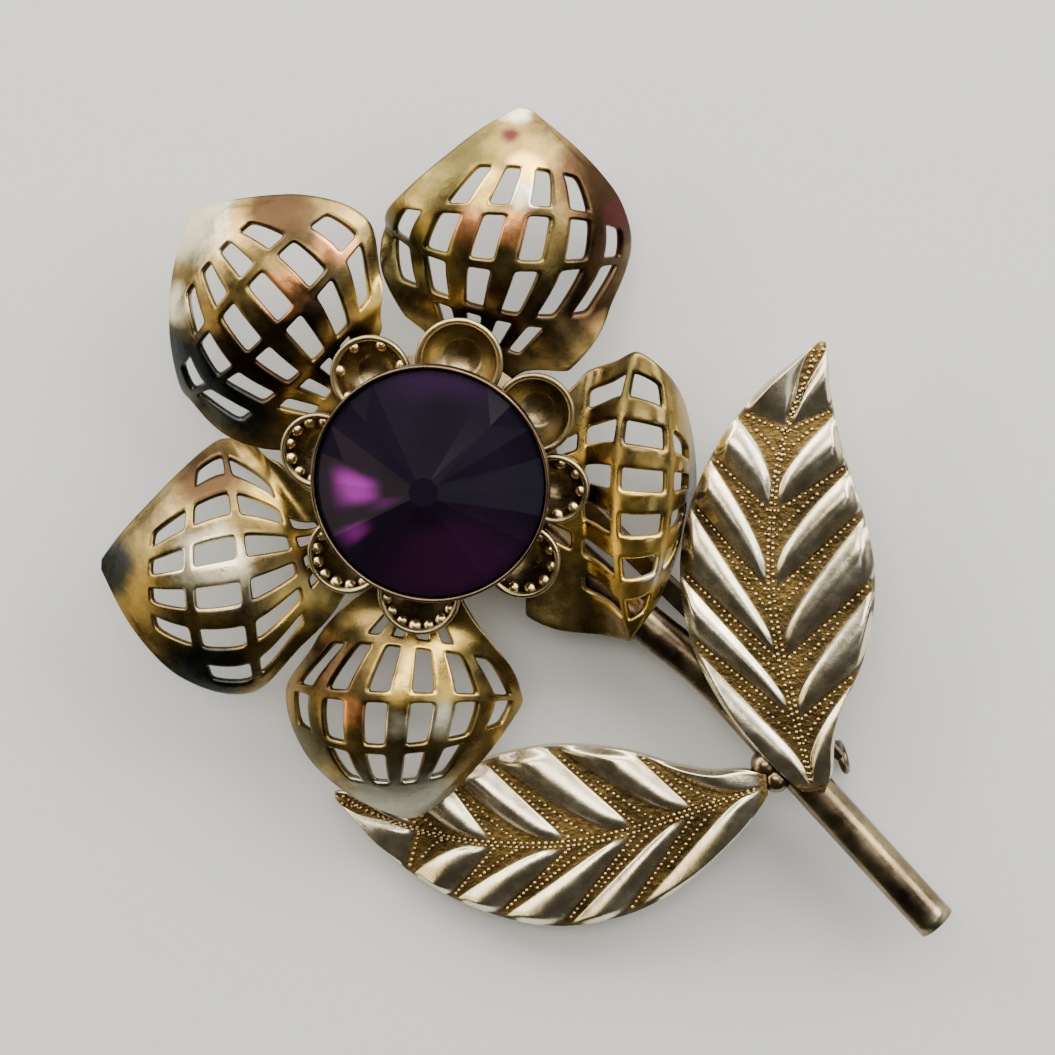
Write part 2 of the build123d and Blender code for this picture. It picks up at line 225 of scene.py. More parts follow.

# Tones painted on the gilt, and where they lie on each petal: along, across, radius, tone. The olive, brown
# and maroon spots are partly tarnish and partly painted shade; the cream, yellow and copper spots are
# painted highlights; the grey spot is a painted reflection; the black spots are painted shade
tarnish_and_light_tones = {
    "cream": (0.93, 0.84, 0.58),
    "yellow": (0.90, 0.60, 0.14),
    "copper": (0.75, 0.33, 0.12),
    "olive": (0.08, 0.063, 0.02),
    "brown": (0.055, 0.031, 0.014),
    "maroon": (0.085, 0.024, 0.022),
    "black": (0.03, 0.035, 0.035),
    "grey": (0.34, 0.33, 0.25),
}
petal_tarnish_and_light_spots = {
    "petal_top": [
        (0.30, 6.0, 3.6, "olive"),
        (0.74, 4.4, 3.6, "olive"),
        (0.22, -6.0, 4.2, "brown"),
        (0.50, -6.0, 3.8, "brown"),
        (0.76, -4.0, 3.8, "brown"),
        (0.12, 0.0, 3.4, "brown"),
        (0.50, 2.5, 1.4, "copper"),
        (0.66, 2.4, 1.6, "yellow"),
        (0.50, 0.0, 1.5, "copper"),
        (0.64, 0.0, 1.2, "cream"),
        (0.74, 0.2, 1.3, "yellow"),
        (0.62, -6.5, 1.4, "maroon"),
        (0.97, 0.6, 1.2, "cream"),
        (0.86, 1.0, 0.8, "maroon"),
    ],
    "petal_upper_left": [
        (0.30, 2.5, 3.8, "brown"),
        (0.36, -2.0, 3.0, "brown"),
        (0.72, -5.0, 3.2, "brown"),
        (0.52, 6.5, 3.8, "black"),
        (0.25, 6.0, 3.4, "black"),
        (0.42, -6.5, 1.5, "copper"),
        (0.45, -2.0, 1.6, "copper"),
        (0.12, -6.0, 2.2, "yellow"),
        (0.92, 0.0, 3.2, "cream"),
        (0.75, 4.0, 1.6, "cream"),
    ],
    "petal_left": [
        (0.45, -6.5, 3.2, "brown"),
        (0.48, -0.5, 2.8, "cream"),
        (0.20, 3.5, 1.8, "yellow"),
        (0.20, -3.5, 1.6, "yellow"),
        (0.95, 0.0, 2.8, "black"),
        (0.55, 6.5, 3.6, "black"),
    ],
    "petal_bottom": [
        (0.25, -5.0, 3.2, "brown"),
        (0.20, 1.4, 2.4, "yellow"),
        (0.34, 0.0, 1.3, "yellow"),
        (0.46, 0.0, 1.2, "cream"),
        (0.32, 2.5, 1.3, "yellow"),
        (0.45, 2.5, 1.4, "cream"),
        (0.42, -3.0, 1.2, "copper"),
        (0.82, 0.0, 4.0, "grey"),
        (0.60, -6.0, 2.4, "olive"),
    ],
    "petal_right": [
        (0.20, 0.0, 5.0, "yellow"),
        (0.45, -4.5, 4.0, "yellow"),
        (0.55, -4.5, 1.2, "cream"),
        (0.25, 1.0, 1.4, "cream"),
        (0.45, 7.0, 2.0, "olive"),
        (0.88, 0.0, 3.2, "brown"),
    ],
}

# Stone
stone_radius = 7.0
stone_clearance = 0.01
stone_facets = 12
table_radius = 0.9
crown_radius = 5.35
crown_height = 0.66
girdle_half = 0.075
pavilion_depth = 2.6
culet_radius = 0.4

# Painted gleams in the stone, painted reflections from the foil, each a wedge: azimuth, half angle, inner
# radius, outer radius, colour
painted_gleams = [
    (183, 13, 2.8, 5.4, (0.21, 0.020, 0.22)),
    (199, 7, 1.4, 3.4, (0.05, 0.004, 0.055)),
    (213, 6, 4.2, 6.1, (0.11, 0.012, 0.12)),
    (85, 30, 5.2, 7.2, (0.012, 0.004, 0.017)),
    (285, 45, 2.0, 6.6, (0.020, 0.004, 0.020)),
]

# Where a painted gleam is full and where it is gone: share of its half angle, and lengths from its ends
wedge_full = 0.6
wedge_none = 1.6
outer_full = -0.2
outer_none = 1.6
inner_full = 2.0
inner_none = 0.2
ragged_reach = 1.2
ragged_turn = 0.5
glass_scale = 150.0
glass_dark = (0.004, 0.003, 0.006)
glass_purple = (0.009, 0.005, 0.013)

# Stem
tube_radius = 1.25
tube_bore = 0.85
tube_height = plate_bottom - tube_radius + 0.12
stem_path = [
    (2.6, -0.9),
    (12.2, -9.5),
    (16.2, -12.7),
    (20.2, -16.9),
    (31.1, -28.7),
]
solder_beads = [
    ((20.2, -18.5), 0.95),
    ((20.9, -19.4), 0.90),
]
solder_height = 3.9
solder_rings = 12
stem_steps = 60
stem_sides = 40
stem_end = [
    (tube_radius - 0.08, 0.02),
    (tube_bore + 0.06, 0.02),
    (tube_bore, 0.06),
    (tube_bore, 3.0),
]

# Back disc
plate_radius = 6.0
plate_hole = 1.06
plate_thickness = 0.7
plate_bevel = 0.1
plate_sides = 72

# Pin behind the flower: a bar with a foot, a pointed wire, and the loop that catches it
bar_start = (2.9, 3.1)
bar_end = (24.9, -18.2)
bar_top = plate_bottom - 1.15
bar_thickness = 0.6
bar_widths = [(0.0, 1.2), (0.88, 1.2), (1.0, 0.5)]
foot_length = 3.0
foot_width = 2.0
foot_top = plate_bottom - 0.15
pin_bevel = 0.1
wire_radii = [(0.0, 0.4), (0.92, 0.4), (1.0, 0.12)]
wire_steps = 60
wire_sides = 16
loop_centre = Vector((24.93, -18.6, 1.35))
loop_heading = math.radians(-72.0)
loop_half_length = 1.1
loop_wire = 0.22
loop_steps = 48
loop_sides = 14
loop_along = Vector((math.cos(loop_heading), math.sin(loop_heading), 0.0))
loop_axis = Vector((-loop_along.y, loop_along.x, 0.0))

# Lights: name, azimuth, height angle, width and height in metres, power, colour
light_distance = 0.7
lamps = [
    ("window", 88, 25, 1.7, 0.5, 20.0, (1.0, 0.98, 0.94)),
    ("east", 30, 28, 0.6, 0.35, 4.6, (1.0, 0.98, 0.95)),
    ("west", 150, 24, 0.5, 0.28, 2.8, (1.0, 0.97, 0.90)),
    ("upper", 88, 50, 1.2, 0.45, 1.6, (1.0, 0.98, 0.93)),
    ("high", 85, 71, 0.5, 0.2, 2.2, (1.0, 0.97, 0.88)),
    ("wall", 190, 26, 0.5, 0.30, 1.0, (1.0, 0.85, 0.50)),
    ("side", -19, 50, 0.3, 0.25, 0.3, (0.85, 0.93, 1.0)),
]

# Ring of bowls: azimuth, rim radius, beads inside the rim
bowls = [
    (78, 2.70, 0),
    (34, 2.50, 0),
    (-4, 2.15, 9),
    (-43, 2.35, 11),
    (262, 2.60, 15),
    (222, 2.50, 14),
    (168, 2.35, 12),
    (122, 2.50, 7),
]
bowl_centres = 7.35
bowl_height = 2.3
bowl_wall = 0.35
bowl_bulge = 0.35
bulge_drop = 0.4
bowl_foot_share = 0.5
bowl_floor_share = 0.6
bowl_steps = 8
bowl_sides = 64
bowl_bead_radius = 0.42
bowl_bead_sizes = (0.9, 1.1)
bowl_bead_inset = 0.15
bowl_bead_drop = 0.5
bowl_bead_mesh = (8, 12)

# Disc of the ring: radius, and height above its bottom
ring_sheet = 0.5
ring_sides = 96
ring_profile = [
    (0, 0.0),
    (7.4, 0.0),
    (7.4, 0.15),
    (4.6, 0.2),
    (4.4, ring_sheet),
    (0, ring_sheet),
]

# Cup under the stone: radius, and height above the level it is named after
cup_levels = {
    "back disc": plate_bottom,
    "ring": ring_bottom + ring_sheet,
    "pavilion": girdle_height - girdle_half - pavilion_depth,
    "rim": girdle_height + rim_above_girdle,
}
cup_sides = 128
cup_profile = [
    (0, "back disc", 0.0),
    (1.0, "back disc", 0.0),
    (1.0, "ring", 0.05),
    (3.0, "ring", 0.05),
    (3.05, "ring", 0.1),
    (4.1, "pavilion", 0.98),
    (6.9, "pavilion", 2.08),
    (7.25, "pavilion", 2.3),
    (7.31, "pavilion", 2.4),
    (7.31, "rim", -0.12),
    (7.27, "rim", -0.04),
    (7.21, "rim", 0.0),
    (7.12, "rim", -0.02),
    (7.06, "rim", -0.08),
    (7.06, "pavilion", 2.6),
    (0.4, "pavilion", -0.06),
    (0, "pavilion", -0.06),
]


def smooth(x):
    """Ease from 0 to 1 with level ends."""
    x = min(max(x, 0.0), 1.0)
    return x * x * (3 - 2 * x)


def curve(table, x, column=1):
    """Value of a table's column at x, on a smooth curve through its rows."""
    row = 0
    while row < len(table) - 2 and x > table[row + 1][0]:
        row += 1

    def slope(i):
        before = table[max(i - 1, 0)]
        after = table[min(i + 1, len(table) - 1)]
        return (after[column] - before[column]) / (after[0] - before[0])

    span = table[row + 1][0] - table[row][0]
    f = min(max((x - table[row][0]) / span, 0.0), 1.0)
    blend = smooth(f)
    return (table[row][column] * (1 - blend) + table[row + 1][column] * blend
            + (f**3 - 2 * f**2 + f) * span * slope(row)
            + (f**3 - f**2) * span * slope(row + 1))


def make_piece(name, points, faces, material, shade_smooth=True):
    """Mesh object from points in millimetres, riding on the brooch."""
    mesh = bpy.data.meshes.new(name)
    mesh.from_pydata([Vector(p) * MM for p in points], [], faces)
    mesh.validate()
    mesh.update()
    for polygon in mesh.polygons:
        polygon.use_smooth = shade_smooth
    mesh.materials.append(material)
    piece = bpy.data.objects.new(name, mesh)
    bpy.context.collection.objects.link(piece)
    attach(piece, "root")
    return piece


def refine(piece, levels):
    """Round a piece's mesh with a subdivision surface."""
    modifier = piece.modifiers.new("rounding", "SUBSURF")
    modifier.levels = levels
    modifier.render_levels = levels


def sheet_faces(rows, columns, open_cells):
    """Quads of a closed sheet between two grids of points, with some cells cut through."""
    faces = []
    size = rows * columns

    def top(i, k):
        return i * columns + k

    def bottom(i, k):
        return top(i, k) + size

    def solid(i, k):
        return 0 <= i < rows - 1 and 0 <= k < columns - 1 and (i, k) not in open_cells

    for i in range(rows - 1):
        for k in range(columns - 1):
            if not solid(i, k):
                continue
            faces.append((top(i, k), top(i + 1, k), top(i + 1, k + 1), top(i, k + 1)))
            faces.append((bottom(i, k), bottom(i, k + 1), bottom(i + 1, k + 1), bottom(i + 1, k)))
            if not solid(i - 1, k):
                faces.append((top(i, k), top(i, k + 1), bottom(i, k + 1), bottom(i, k)))
            if not solid(i + 1, k):
                faces.append((top(i + 1, k + 1), top(i + 1, k), bottom(i + 1, k), bottom(i + 1, k + 1)))
            if not solid(i, k - 1):
                faces.append((top(i + 1, k), top(i, k), bottom(i, k), bottom(i + 1, k)))
            if not solid(i, k + 1):
                faces.append((top(i, k + 1), top(i + 1, k + 1), bottom(i + 1, k + 1), bottom(i, k + 1)))
    return faces


def used_only(points, faces):
    """Drop the points that no face uses."""
    order = {}
    for face in faces:
        for index in face:
            order.setdefault(index, len(order))
    kept = [None] * len(order)
    for old, new in order.items():
        kept[new] = points[old]
    return kept, [tuple(order[index] for index in face) for face in faces]


def petal_spine(bend):
    """Centre, side, normal and curvature at each step along a petal's midline."""
    azimuth = math.radians(bend["azimuth"])
    centre = Vector((bend["seat"] * math.cos(azimuth), bend["seat"] * math.sin(azimuth), petal_middle))
    spine = []
    for step in range(spine_steps + 1):
        t = step / spine_steps
        climb = bend["rise"] * smooth((t - bend["flat"]) / rise_share)
        drop = (bend["rise"] + bend["fall"]) * smooth((t - bend["start"]) / (bend["end"] - bend["start"]))
        slope = math.radians(climb - drop)
        heading = math.radians(bend["azimuth"] + bend["turn"] * smooth(t / turn_share) + bend["sweep"] * t)
        level_run = math.cos(slope)
        along = Vector((level_run * math.cos(heading), level_run * math.sin(heading), math.sin(slope)))
        level = Vector((-math.sin(heading), math.cos(heading), 0))
        upright = along.cross(level)
        roll = math.radians(bend["roll"]) * smooth(t / roll_share)
        side = level * math.cos(roll) + upright * math.sin(roll)
        normal = upright * math.cos(roll) - level * math.sin(roll)
        curvature = bend["dome"] / dome_radius * smooth(t / dome_share) + least_curvature
        spine.append((centre.copy(), side, normal, curvature))
        centre += along * (petal_length / spine_steps)
    return spine


def petal_point(bend, spine, t, across, lift):
    """Point on a petal: t along its length, across on the sheet, lift off the sheet's middle."""
    if t < 0:
        azimuth = math.radians(bend["azimuth"])
        radius = bend["seat"] + t * petal_length
        x = radius * math.cos(azimuth) - across * math.sin(azimuth)
        y = radius * math.sin(azimuth) + across * math.cos(azimuth)
        return Vector((x, y, petal_middle + lift))
    slant = bend["skew"] * 4 * t * (1 - t) * across / petal_half_width
    place = min(max(t + slant, 0.0), 1.0) * spine_steps
    before = min(int(place), spine_steps - 1)
    share = place - before
    centre, side, normal, curvature = [
        a * (1 - share) + b * share for a, b in zip(spine[before], spine[before + 1])]
    turn = curvature * (across + bend["hook"] * smooth((t - hook_share) / (1 - hook_share)))
    return (centre + side * (math.sin(turn) / curvature) - normal * ((1 - math.cos(turn)) / curvature)
            + (normal * math.cos(turn) + side * math.sin(turn)) * lift)


def petal_half(t, base):
    """Half width of a petal at t, with its own share at the base."""
    spread = (base - petal_outline[0][1]) * (1 - smooth(t / base_share))
    return petal_half_width * (curve(petal_outline, t) + spread)


def petal_lines(bend, t):
    """Lines across a petal at t: its edges, the slots' edges, and lines beside each."""
    low = petal_half(t, bend["low"])
    high = petal_half(t, bend["high"])
    narrow = min(low, high)
    inner = narrow - min(petal_border, border_share * narrow)
    pitch = 2 * inner / (slot_columns * slot_share + (slot_columns - 1) * (1 - slot_share))
    slot = pitch * slot_share
    beside = (pitch - slot) * corner_share
    within = slot * corner_share
    low_edge = min(beside, (low - inner) / edge_parts)
    high_edge = min(beside, (high - inner) / edge_parts)
    lines = [-low, -low + low_edge, -inner - low_edge]
    for column in range(slot_columns):
        start = -inner + column * pitch
        lines += [start, start + within, start + slot - within, start + slot]
        if column < slot_columns - 1:
            lines += [start + slot + beside, start + pitch - beside]
    return lines + [inner + high_edge, high - high_edge, high]


def petal(name, bend, material):
    """One pierced petal with its tab, as a closed sheet with rounded edges."""
    spine = petal_spine(bend)
    stations = []
    rows = []
    root = petal_lines(bend, 0)
    for share, half in petal_tab:
        low = min(half / -root[0], tab_share)
        high = min(half / root[-1], tab_share)
        stations.append((share - 1) * bend["seat"] / petal_length)
        rows.append([line * (low if line < 0 else high) for line in root])
    stations.append(0.0)
    rows.append(root)
    open_cells = set()
    for number, (start, end, first) in enumerate(slot_rows):
        length = end - start
        marks = [start, start + within_slot]
        steps = 2 if length < short_slot else 3
        marks += [start + length * part / steps for part in range(1, steps)]
        marks += [end - within_slot, end]
        if number:
            stations.append(start - beside_slot)
            rows.append(petal_lines(bend, start - beside_slot))
        for mark in marks:
            if mark < end:
                for column in range(first, slot_columns - first):
                    for part in range(cells_per_slot):
                        cell = lines_before_slots + column * lines_per_slot + part
                        open_cells.add((len(stations), cell))
            stations.append(mark)
            rows.append(petal_lines(bend, mark))
        stations.append(end + beside_slot)
        rows.append(petal_lines(bend, end + beside_slot))
    for t in tip_stations:
        stations.append(t)
        rows.append(petal_lines(bend, t))
    points = []
    for lift in (petal_sheet / 2, -petal_sheet / 2):
        for t, row in zip(stations, rows):
            points += [petal_point(bend, spine, t, across, lift) for across in row]
    faces = sheet_faces(len(rows), len(root), open_cells)
    points, faces = used_only(points, faces)
    piece = make_piece(name + "_sheet", points, faces, material)
    refine(piece, petal_rounding)
    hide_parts(name)


def lathe(profile, steps, centre=(0.0, 0.0)):
    """Points and faces of a turned form. A profile row is a radius and a height; radius 0 is one point."""
    points = []
    rings = []
    for radius, height in profile:
        rings.append([])
        for step in range(steps if radius else 1):
            turn = 2 * math.pi * step / steps
            rings[-1].append(len(points))
            points.append((centre[0] + radius * math.cos(turn), centre[1] + radius * math.sin(turn), height))
    faces = []
    for here, ahead in zip(rings, rings[1:]):
        for step in range(steps):
            after = (step + 1) % steps
            corners = [ring[place % len(ring)]
                       for ring, place in ((here, step), (here, after), (ahead, after), (ahead, step))]
            faces.append(tuple(dict.fromkeys(corners)))
    return points, faces


def add_mesh(points, faces, more_points, more_faces):
    """Append one mesh to another."""
    first = len(points)
    points.extend(more_points)
    faces.extend(tuple(index + first for index in face) for face in more_faces)


def ball(centre, radius, rings, steps):
    """Points and faces of a small round bead."""
    points = [(centre[0], centre[1], centre[2] - radius)]
    faces = []
    for ring in range(1, rings):
        angle = math.pi * ring / rings
        for step in range(steps):
            turn = 2 * math.pi * step / steps
            points.append((centre[0] + radius * math.sin(angle) * math.cos(turn),
                           centre[1] + radius * math.sin(angle) * math.sin(turn),
                           centre[2] - radius * math.cos(angle)))
    points.append((centre[0], centre[1], centre[2] + radius))
    last = len(points) - 1
    for step in range(steps):
        after = (step + 1) % steps
        faces.append((0, 1 + after, 1 + step))
        faces.append((last, last - steps + step, last - steps + after))
        for ring in range(rings - 2):
            a = 1 + ring * steps
            faces.append((a + step, a + after, a + steps + after, a + steps + step))
    return points, faces


def bowl_profile(rim_radius):
    """Bowl's outside from its foot up, over the rim, and down the inside."""
    foot = rim_radius * bowl_foot_share
    top = ring_bottom + bowl_height
    outside = []
    for step in range(bowl_steps + 1):
        f = step / bowl_steps
        bulge = bowl_bulge * math.sin(math.pi * f)
        height = ring_bottom + bowl_height * f - bulge * bulge_drop
        outside.append((foot + (rim_radius - foot) * f + bulge, height))
    half = bowl_wall / 2
    rim = []
    for step in range(1, bowl_steps):
        turn = math.pi * step / bowl_steps
        rim.append((rim_radius - half + half * math.cos(turn), top + half * math.sin(turn) - half))
    inside = [(radius - bowl_wall, height + bowl_wall * bowl_floor_share)
              for radius, height in reversed(outside[:-1])]
    outside[-1] = (rim_radius, top - half)
    return [(0, ring_bottom)] + outside + rim + inside + [(0, inside[-1][1])]


def cup_ring(material, bead_material):
    """Disc and small bowls round the setting, some with beads inside their rims."""
    points = []
    faces = []
    bead_points = []
    bead_faces = []
    disc = [(radius, ring_bottom + height) for radius, height in ring_profile]
    add_mesh(points, faces, *lathe(disc, ring_sides))
    for azimuth, rim_radius, beads in bowls:
        angle = math.radians(azimuth)
        centre = (bowl_centres * math.cos(angle), bowl_centres * math.sin(angle))
        add_mesh(points, faces, *lathe(bowl_profile(rim_radius), bowl_sides, centre))
        for bead in range(beads):
            turn = angle + 2 * math.pi * bead / beads
            radius = rim_radius - bowl_wall - bowl_bead_inset
            place = (centre[0] + radius * math.cos(turn), centre[1] + radius * math.sin(turn),
                     ring_bottom + bowl_height - bowl_bead_drop)
            size = bowl_bead_radius * random.uniform(*bowl_bead_sizes)
            add_mesh(bead_points, bead_faces, *ball(place, size, *bowl_bead_mesh))
    for name, mesh, finish in (("bowl_ring", (points, faces), material),
                               ("bowl_beads", (bead_points, bead_faces), bead_material)):
        piece = make_piece(name, *mesh, finish)
        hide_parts("cup_ring")


def setting(material):
    """Cup under the stone with its thin burnished rim."""
    profile = [(radius, cup_levels[level] + height) for radius, level, height in cup_profile]
    points, faces = lathe(profile, cup_sides)
    piece = make_piece("stone_cup", points, faces, material)
    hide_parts("setting")


def stone(material):
    """Cut stone: table, long crown facets, girdle facets, pavilion facets and culet."""
    count = stone_facets
    girdle_radius = stone_radius - stone_clearance
    girdle_top = girdle_height + girdle_half
    girdle_bottom = girdle_height - girdle_half

    def ring(radius, height, steps, shift=0.0):
        return [(radius * math.cos(2 * math.pi * (k + shift) / steps),
                 radius * math.sin(2 * math.pi * (k + shift) / steps), height) for k in range(steps)]

    points = ring(table_radius, stone_top, count)
    points += ring(crown_radius, girdle_top + crown_height, count, 0.5)
    points += ring(girdle_radius, girdle_top, 2 * count)
    points += ring(girdle_radius, girdle_bottom, 2 * count)
    points += ring(culet_radius, girdle_bottom - pavilion_depth, 2 * count)
    mid = count
    upper = 2 * count
    lower = 4 * count
    culet = 6 * count
    faces = [tuple(range(count)), tuple(reversed(range(culet, culet + 2 * count)))]
    for k in range(count):
        before = (k - 1) % count
        after = (k + 1) % count
        faces.append((k, mid + before, upper + 2 * k, mid + k))
        faces.append((k, mid + k, after))
        faces.append((mid + k, upper + 2 * k, upper + 2 * k + 1))
        faces.append((mid + k, upper + 2 * k + 1, upper + (2 * k + 2) % (2 * count)))
    for k in range(2 * count):
        after = (k + 1) % (2 * count)
        faces.append((upper + k, lower + k, lower + after, upper + after))
        faces.append((lower + k, culet + k, culet + after, lower + after))
    piece = make_piece("cut_stone", points, faces, material, shade_smooth=False)
    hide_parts("stone")


def leaf_place(leaf, along, out):
    """Level point on a leaf and its ground height: along the midrib, out to an edge."""
    edge = 2 if out > 0 else 3
    reach = curve(leaf_grooves, along, edge - 1)
    distance = abs(out)
    x = along * (1 - distance) + reach * distance
    y = curve(leaf_outline, along) * (1 - distance) + curve(leaf_outline, reach, edge) * distance
    y += leaf["bow"] * math.sin(math.pi * x)
    heading = math.radians(leaf["heading"])
    east = leaf["base"][0] + leaf_length * (x * math.cos(heading) - y * math.sin(heading))
    north = leaf["base"][1] + leaf_length * (x * math.sin(heading) + y * math.cos(heading))
    level = leaf["base_height"] + (leaf["tip_height"] - leaf["base_height"]) * x
    camber = leaf_camber * math.sin(math.pi * min(max(along, 0.0), 1.0)) * (1 - out * out)
    return east, north, level + camber


def blade_edges(out):
    """Shares across a lobe where its polished blade starts and ends, out from the midrib."""
    spread = max(0.0, out - blade_root) / (1 - blade_root)
    widest = blade_high - blade_low - blade_least
    return blade_low, blade_low + blade_least + widest * spread**blade_spread


def blade_height(share, out):
    """Height share of a blade at a share across it, and out from the midrib."""
    off = abs(share - blade_crest) / (blade_crest if share < blade_crest else 1 - blade_crest)
    low, high = blade_edges(out)
    size = (high - low) / (blade_high - blade_low)
    start = smooth((out - blade_root) / blade_start)
    return (1 - off**blade_power) * size * start * (1 - smooth((out - blade_end) / blade_end_run))


def leaf(name, place, material, groove_material, bead_material):
    """One ribbed leaf: polished tapered blades, with rows of beads in the rough grooves between."""
    outs = [math.sin(math.pi / 2 * step / run_steps) for step in range(-run_steps, run_steps + 1)]
    rows = []
    for lobe in range(len(leaf_grooves) - 1):
        for part, steps in enumerate((low_steps, blade_steps, high_steps)):
            rows += [(lobe, part, step / steps) for step in range(steps)]
    rows.append((len(leaf_grooves) - 1, 0, 0.0))

    def station(row, out):
        lobe, part, share = row
        if lobe == len(leaf_grooves) - 1:
            return 1.0
        low, high = blade_edges(abs(out))
        ends = ((0.0, low), (low, high), (high, 1.0))[part]
        fraction = ends[0] + (ends[1] - ends[0]) * share
        return leaf_grooves[lobe][0] + (leaf_grooves[lobe + 1][0] - leaf_grooves[lobe][0]) * fraction

    points = []
    for layer in (0, 1):
        for row in rows:
            for out in outs:
                along = station(row, out)
                east, north, ground = leaf_place(place, along, out)
                if layer == 0:
                    ground += leaf_sheet
                    if row[1] == 1:
                        fade = min(1.0, stalk_fade * along + stalk_least, tip_fade * (1 - along))
                        ground += blade_relief * blade_height(row[2], abs(out)) * fade
                points.append((east, north, ground))
    faces = sheet_faces(len(rows), len(outs), ())
    piece = make_piece(name, points, faces, material)
    piece.data.materials.append(groove_material)
    size = len(rows) * len(outs)
    for polygon in piece.data.polygons:
        if max(polygon.vertices) >= size:
            continue
        row = min(v // len(outs) for v in polygon.vertices)
        out = sum(abs(outs[v % len(outs)]) for v in polygon.vertices) / 4
        if rows[row][1] != 1 and out < rim_share or out < blade_root:
            polygon.material_index = 1
    refine(piece, leaf_rounding)
    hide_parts("spray")
    bead_points = []
    bead_faces = []

    def bead_row(samples):
        travelled = bead_pitch
        last = None
        for along, out in samples:
            spot = Vector(leaf_place(place, along, out))
            if last is not None:
                travelled += (spot - last).length
            last = spot
            if travelled >= bead_pitch:
                travelled = random.uniform(-bead_jitter, bead_jitter)
                radius = bead_radius * random.uniform(*bead_sizes)
                centre = (spot.x, spot.y, spot.z + leaf_sheet - radius * bead_sink)
                add_mesh(bead_points, bead_faces, *ball(centre, radius, *bead_mesh))

    for line in (-midrib_offset, midrib_offset):
        bead_row([(along, line) for along in midrib_beads])
    for lobe in range(len(leaf_grooves) - 1):
        start = leaf_grooves[lobe][0]
        width = leaf_grooves[lobe + 1][0] - start
        for side in (-1, 1):
            if lobe:
                bead_row([(start + width * blade_low * low_bead_share, side * out) for out in groove_beads])
            samples = []
            for out in groove_beads:
                high = blade_edges(out)[1]
                if out < high_bead_reach:
                    samples.append((start + width * (high + (1 - high) * high_bead_share), side * out))
            bead_row(samples)
    beads = make_piece(name + "_beads", bead_points, bead_faces, bead_material)
    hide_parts("spray")


def stem_line(count):
    """Smooth centre line of the stem."""
    route = [Vector((x, y, tube_height)) for x, y in stem_path]
    lengths = [0.0]
    for a, b in zip(route, route[1:]):
        lengths.append(lengths[-1] + (b - a).length)
    table = [(length / lengths[-1], point.x, point.y) for length, point in zip(lengths, route)]
    shares = [k / count for k in range(count + 1)]
    return [Vector((curve(table, share, 1), curve(table, share, 2), tube_height)) for share in shares]


def stem(material):
    """Round stem tube with an open cut end."""
    line = stem_line(stem_steps)
    steps = stem_sides
    up = Vector((0, 0, 1))
    points = []
    faces = []

    def ring(centre, ahead, radius):
        side = up.cross(ahead)
        for step in range(steps):
            turn = 2 * math.pi * step / steps
            points.append(centre + (side * math.cos(turn) + up * math.sin(turn)) * radius)

    for k, centre in enumerate(line):
        ahead = line[min(k + 1, len(line) - 1)] - line[max(k - 1, 0)]
        ring(centre, ahead.normalized(), tube_radius)
    ahead = (line[-1] - line[-2]).normalized()
    for radius, back in stem_end:
        ring(line[-1] - ahead * back, ahead, radius)
    last = len(points) - steps
    for here in range(0, last, steps):
        for step in range(steps):
            after = (step + 1) % steps
            faces.append((here + step, here + after, here + steps + after, here + steps + step))
    faces.append(tuple(last + step for step in range(steps)))
    faces.append(tuple(reversed(range(steps))))
    piece = make_piece("stem_tube", points, faces, material)
    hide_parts("spray")
    solder_points = []
    solder_faces = []
    for (x, y), radius in solder_beads:
        blob = ball((x, y, solder_height), radius, solder_rings, 2 * solder_rings)
        add_mesh(solder_points, solder_faces, *blob)
    solder = make_piece("solder", solder_points, solder_faces, material)
    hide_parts("spray")


def back_plate(material):
    """Disc behind the petals."""
    top = plate_bottom + plate_thickness
    inner = plate_radius - plate_bevel
    profile = [
        (plate_hole, plate_bottom),
        (inner, plate_bottom),
        (plate_radius, plate_bottom + plate_bevel),
        (plate_radius, top - plate_bevel),
        (inner, top),
        (plate_hole, top),
        (plate_hole, plate_bottom),
    ]
    points, faces = lathe(profile, plate_sides)
    piece = make_piece("back_plate", points, faces, material)
    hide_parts("spray")


def tube(line, radii, steps, closed=False):
    """Points and faces of a round wire along a line, as a loop or with flat ends."""
    points = []
    faces = []
    count = len(line)
    for k, centre in enumerate(line):
        if closed:
            ahead = line[(k + 1) % count] - line[k - 1]
        else:
            ahead = line[min(k + 1, count - 1)] - line[max(k - 1, 0)]
        side = ahead.cross(loop_axis if closed else Vector((0, 0, 1))).normalized()
        other = ahead.cross(side).normalized()
        for step in range(steps):
            turn = 2 * math.pi * step / steps
            points.append(centre + (side * math.cos(turn) + other * math.sin(turn)) * radii[k])
    for k in range(count if closed else count - 1):
        for step in range(steps):
            after = (step + 1) % steps
            here = k * steps
            there = (k + 1) % count * steps
            faces.append((here + step, here + after, there + after, there + step))
    if not closed:
        faces.append(tuple(reversed(range(steps))))
        faces.append(tuple((count - 1) * steps + step for step in range(steps)))
    return points, faces


